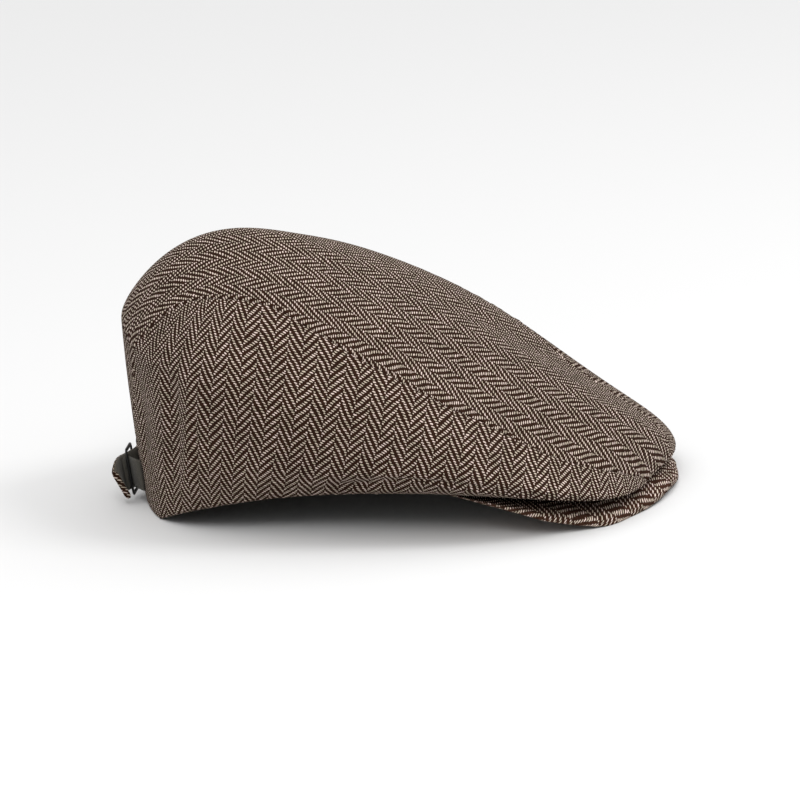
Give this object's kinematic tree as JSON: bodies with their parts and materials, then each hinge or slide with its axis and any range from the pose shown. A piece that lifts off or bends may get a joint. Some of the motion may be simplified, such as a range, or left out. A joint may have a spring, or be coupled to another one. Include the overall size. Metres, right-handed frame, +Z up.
{
  "type": "flat cap",
  "caption": "Flat cap of herringbone cloth with a short stiff peak under the crown and an adjusting strap with a slider ring at the back.",
  "frame": {"origin": "on the floor, under the middle of the whole cap", "axes": "front of the cap along -Y, +Z up, +X to the wearer's left"},
  "size_m": [0.1994, 0.2624, 0.1249],
  "materials": {
    "tweed": "matte wool herringbone",
    "lining_cloth": "matte woven cotton",
    "slider_black": "smooth satin black"
  },
  "bodies": {
    "root": {"top_panel": "tweed", "side_panel_right": "tweed", "side_panel_left": "tweed", "peak": "tweed", "back_strap": "tweed", "strap_anchor": "lining_cloth", "strap_slider": "slider_black"}
  },
  "joints": []
}
